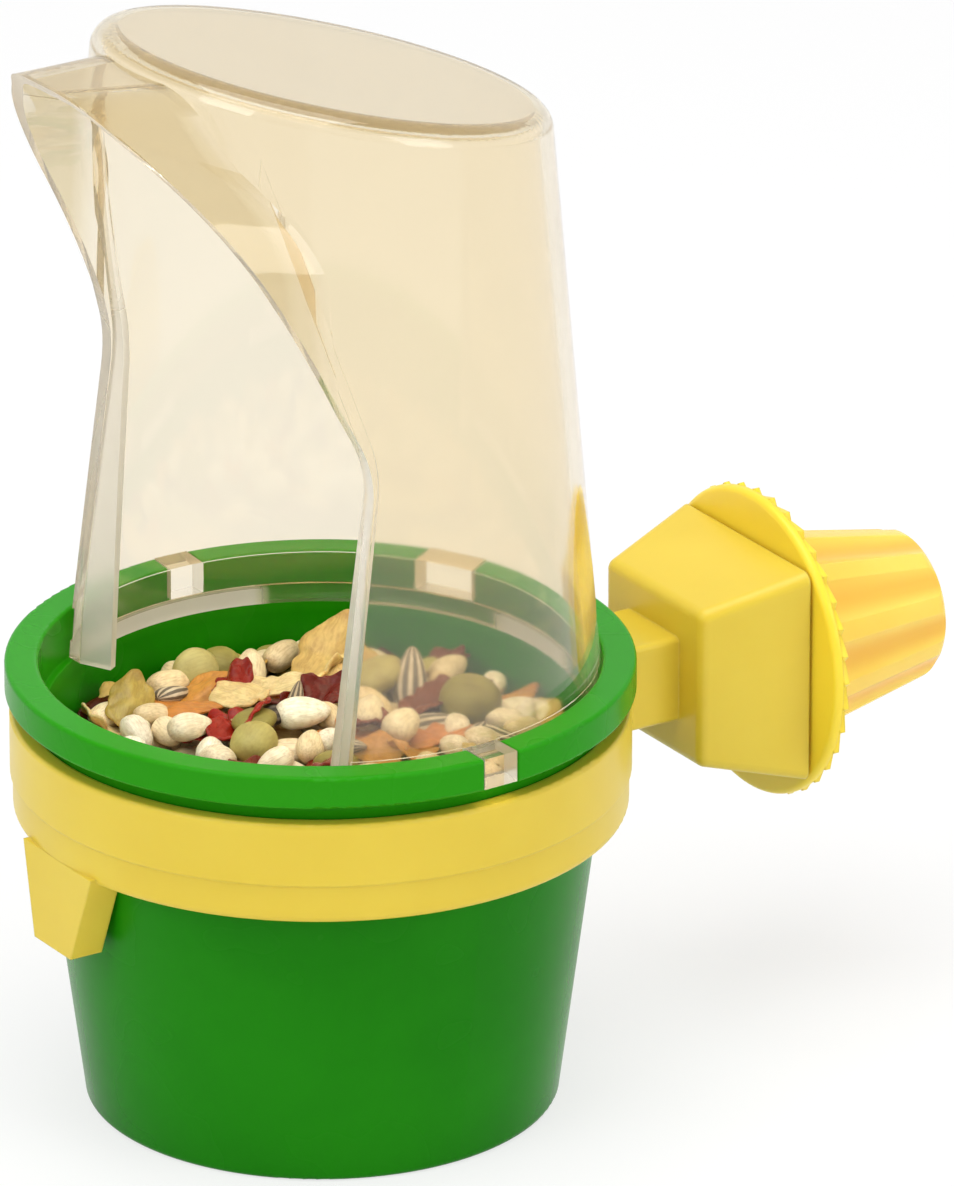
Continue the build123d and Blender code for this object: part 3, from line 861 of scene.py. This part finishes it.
# more seeds of every kind where the heap is still low
for _ in range(heapLook["extra"]):
    kind, turned, size, tint = randomSeed(heapLook["extraShares"])
    spot = min((randomSpot() for _ in range(heapLook["extraTries"])), key=heapAt)
    if heapAt(spot) > heapLook["extraLow"]:
        continue
    x, y = keepInside(*spot, turned, size)
    level = restLevel(x, y, turned, size, heapLook["extraTop"])
    laySeed(pieces[pieceOf(kind)], kind, x, y, level, turned, size, tint, True)
inCup = heapX**2 + heapY**2 < heapLook["wall"] ** 2
# low, middle, high and highest
heapTop = np.quantile((heap - dome)[inCup], (0.05, 0.5, 0.95, 1.0)) / mm
print("seeds laid:", {name: piece["count"] for name, piece in pieces.items()})
print("heap above the dome, mm:", heapTop.round(1))

# mottle: scale of the noise; streak: its share; dull: roughness
seedLooks = {
    "safflowerSeeds": {"mottle": 900, "streak": 0.5, "dull": 0.42, "bump": 0.15, "glow": 0.12},
    "driedPeas": {"mottle": 520, "streak": 0.25, "dull": 0.5, "bump": 0.35, "glow": 0.08},
    "sunflowerSeeds": {"mottle": 700, "streak": 0.4, "dull": 0.48, "bump": 0.2, "stripes": 9.0},
    "fruitFlakes": {"mottle": 620, "streak": 0.5, "dull": 0.4, "bump": 0.5, "glow": 0.3},
    "chilliFlakes": {"mottle": 560, "streak": 0.5, "dull": 0.26, "bump": 0.6, "glow": 0.08, "shine": 0.28},
    "seedFill": {"mottle": 700, "streak": 0.5, "dull": 0.5, "bump": 0.3, "glow": 0.08},
}
seedSkin = {
    "shine": 0.5,
    "stretch": (1.6, 9.0, 9.0),  # streaks run along each seed
    "detail": 4.0,
    "streakStops": ((0.3, (0.52, 0.44, 0.34, 1)), (0.6, white)),
    "spotStops": ((0.34, (0.72, 0.66, 0.56, 1)), (0.58, white)),
    "spotShare": 0.55,
    "endSpan": (0.72, 1.02),  # the two ends are a little browner
    "endColour": (0.62, 0.46, 0.3, 1),
    "endShare": 0.45,
    "stripeStops": ((0.45, (0.08, 0.065, 0.055, 1)), (0.75, white)),
    "stripeShare": 0.85,
    "glossChange": (-0.1, 0.14),
    "relief": 0.3 * mm,
    "glowColour": (1.0, 0.55, 0.25),
    "glowDepth": 1.2 * mm,
}


def makeSeedSkin(name, look):
    material, tree, shader = newMaterial(name + " skin")
    own = addNode(tree, "ShaderNodeAttribute", attribute_name="seedPlace").outputs["Vector"]
    tint = addNode(tree, "ShaderNodeAttribute", attribute_name="seedTint").outputs["Color"]
    # fine streaks and mottling around each seed's own colour
    stretched = addVector(tree, "MULTIPLY", own, seedSkin["stretch"])
    streak = addNoise(tree, stretched, 1.0, seedSkin["detail"])
    mottle = addNoise(tree, objectPlace(tree), look["mottle"], seedSkin["detail"])
    dark = addRamp(tree, streak, seedSkin["streakStops"])
    colour = addMix(tree, "MULTIPLY", look["streak"], tint, dark)
    spots = addRamp(tree, mottle, seedSkin["spotStops"])
    colour = addMix(tree, "MULTIPLY", seedSkin["spotShare"], colour, spots)
    x, y, z = addParts(tree, own)
    end = addRange(tree, addMath(tree, "ABSOLUTE", x), *seedSkin["endSpan"], 0.0, seedSkin["endShare"])
    colour = addMix(tree, "MULTIPLY", end, colour, seedSkin["endColour"])
    if "stripes" in look:
        lane = addMath(tree, "MULTIPLY", addMath(tree, "ARCTAN2", z, y), look["stripes"])
        wave = addMath(tree, "ADD", addMath(tree, "SINE", lane), streak)
        band = addRamp(tree, wave, seedSkin["stripeStops"])
        colour = addMix(tree, "MULTIPLY", seedSkin["stripeShare"], colour, band)
    join(tree, colour, shader.inputs["Base Color"])
    smooth, dull = [look["dull"] + change for change in seedSkin["glossChange"]]
    join(tree, addRange(tree, mottle, *noiseSpan, smooth, dull), shader.inputs["Roughness"])
    join(tree, addBump(tree, mottle, look["bump"], seedSkin["relief"]), shader.inputs["Normal"])
    shader.inputs["Specular IOR Level"].default_value = look.get("shine", seedSkin["shine"])
    if "glow" in look:
        setGlow(shader, look["glow"], seedSkin["glowColour"], seedSkin["glowDepth"])
    return material


def finishPiece(name):
    look, bm = seedPieces[name], pieces[name]["bm"]
    bmesh.ops.recalc_face_normals(bm, faces=bm.faces)
    mesh = bpy.data.meshes.new(name)
    bm.to_mesh(mesh)
    bm.free()
    mesh.polygons.foreach_set("use_smooth", [True] * len(mesh.polygons))
    thing = bpy.data.objects.new(name, mesh)
    scene.collection.objects.link(thing)
    mesh.materials.append(makeSeedSkin(name, seedLooks[name]))
    if any("crumple" in seedKinds[kind] for kind in look["kinds"]):
        thickness = thing.modifiers.new("thickness", "SOLIDIFY")
        thickness.thickness = formLook["thickness"]
        thickness.offset = 0
    # seeds that show are smoother, and stand for a node's plain ones
    if look["node"]:
        smooth = thing.modifiers.new("smooth", "SUBSURF")
        smooth.levels = 1
        smooth.render_levels = 1
        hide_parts(look["node"])
    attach(thing, "cup")


for name in seedPieces:
    finishPiece(name)

# packed seeds below the top layer: cells of seed colours with painted shade in the gaps between them
bedLook = {
    "cells": 210.0,
    "colours": (
        (0.0, paint(206, 178, 118)),
        (0.3, paint(150, 126, 70)),
        (0.6, paint(222, 200, 152)),
        (0.9, paint(96, 44, 24)),
    ),
    # painted shade in the gaps
    "paintedGapShadeStops": ((0.25, white), (0.7, (0.16, 0.11, 0.06, 1))),
    "grain": (900.0, 3.0),
    "gloss": (0.45, 0.75),
    "bump": (0.8, 1.5 * mm),
}


def makeBedSkin():
    material, tree, shader = newMaterial("packed seed")
    place = objectPlace(tree)
    cells = addNode(tree, "ShaderNodeTexVoronoi", {"Scale": bedLook["cells"], "Randomness": 1.0})
    join(tree, place, cells.inputs["Vector"])
    drawn = addNode(tree, "ShaderNodeSeparateColor")
    join(tree, cells.outputs["Color"], drawn.inputs[0])
    kinds = addRamp(tree, drawn.outputs[0], bedLook["colours"])
    # painted shade in the gaps between the packed seeds
    paintedGapShade = addRamp(tree, cells.outputs["Distance"], bedLook["paintedGapShadeStops"])
    join(tree, addMix(tree, "MULTIPLY", 1.0, kinds, paintedGapShade), shader.inputs["Base Color"])
    grain = addNoise(tree, place, *bedLook["grain"])
    join(tree, addRange(tree, grain, 0.0, 1.0, *bedLook["gloss"]), shader.inputs["Roughness"])
    relief = addBump(tree, cells.outputs["Distance"], *bedLook["bump"], invert=True)
    join(tree, relief, shader.inputs["Normal"])
    return material


dress("seed_bed", makeBedSkin())
print("seeds dressed")
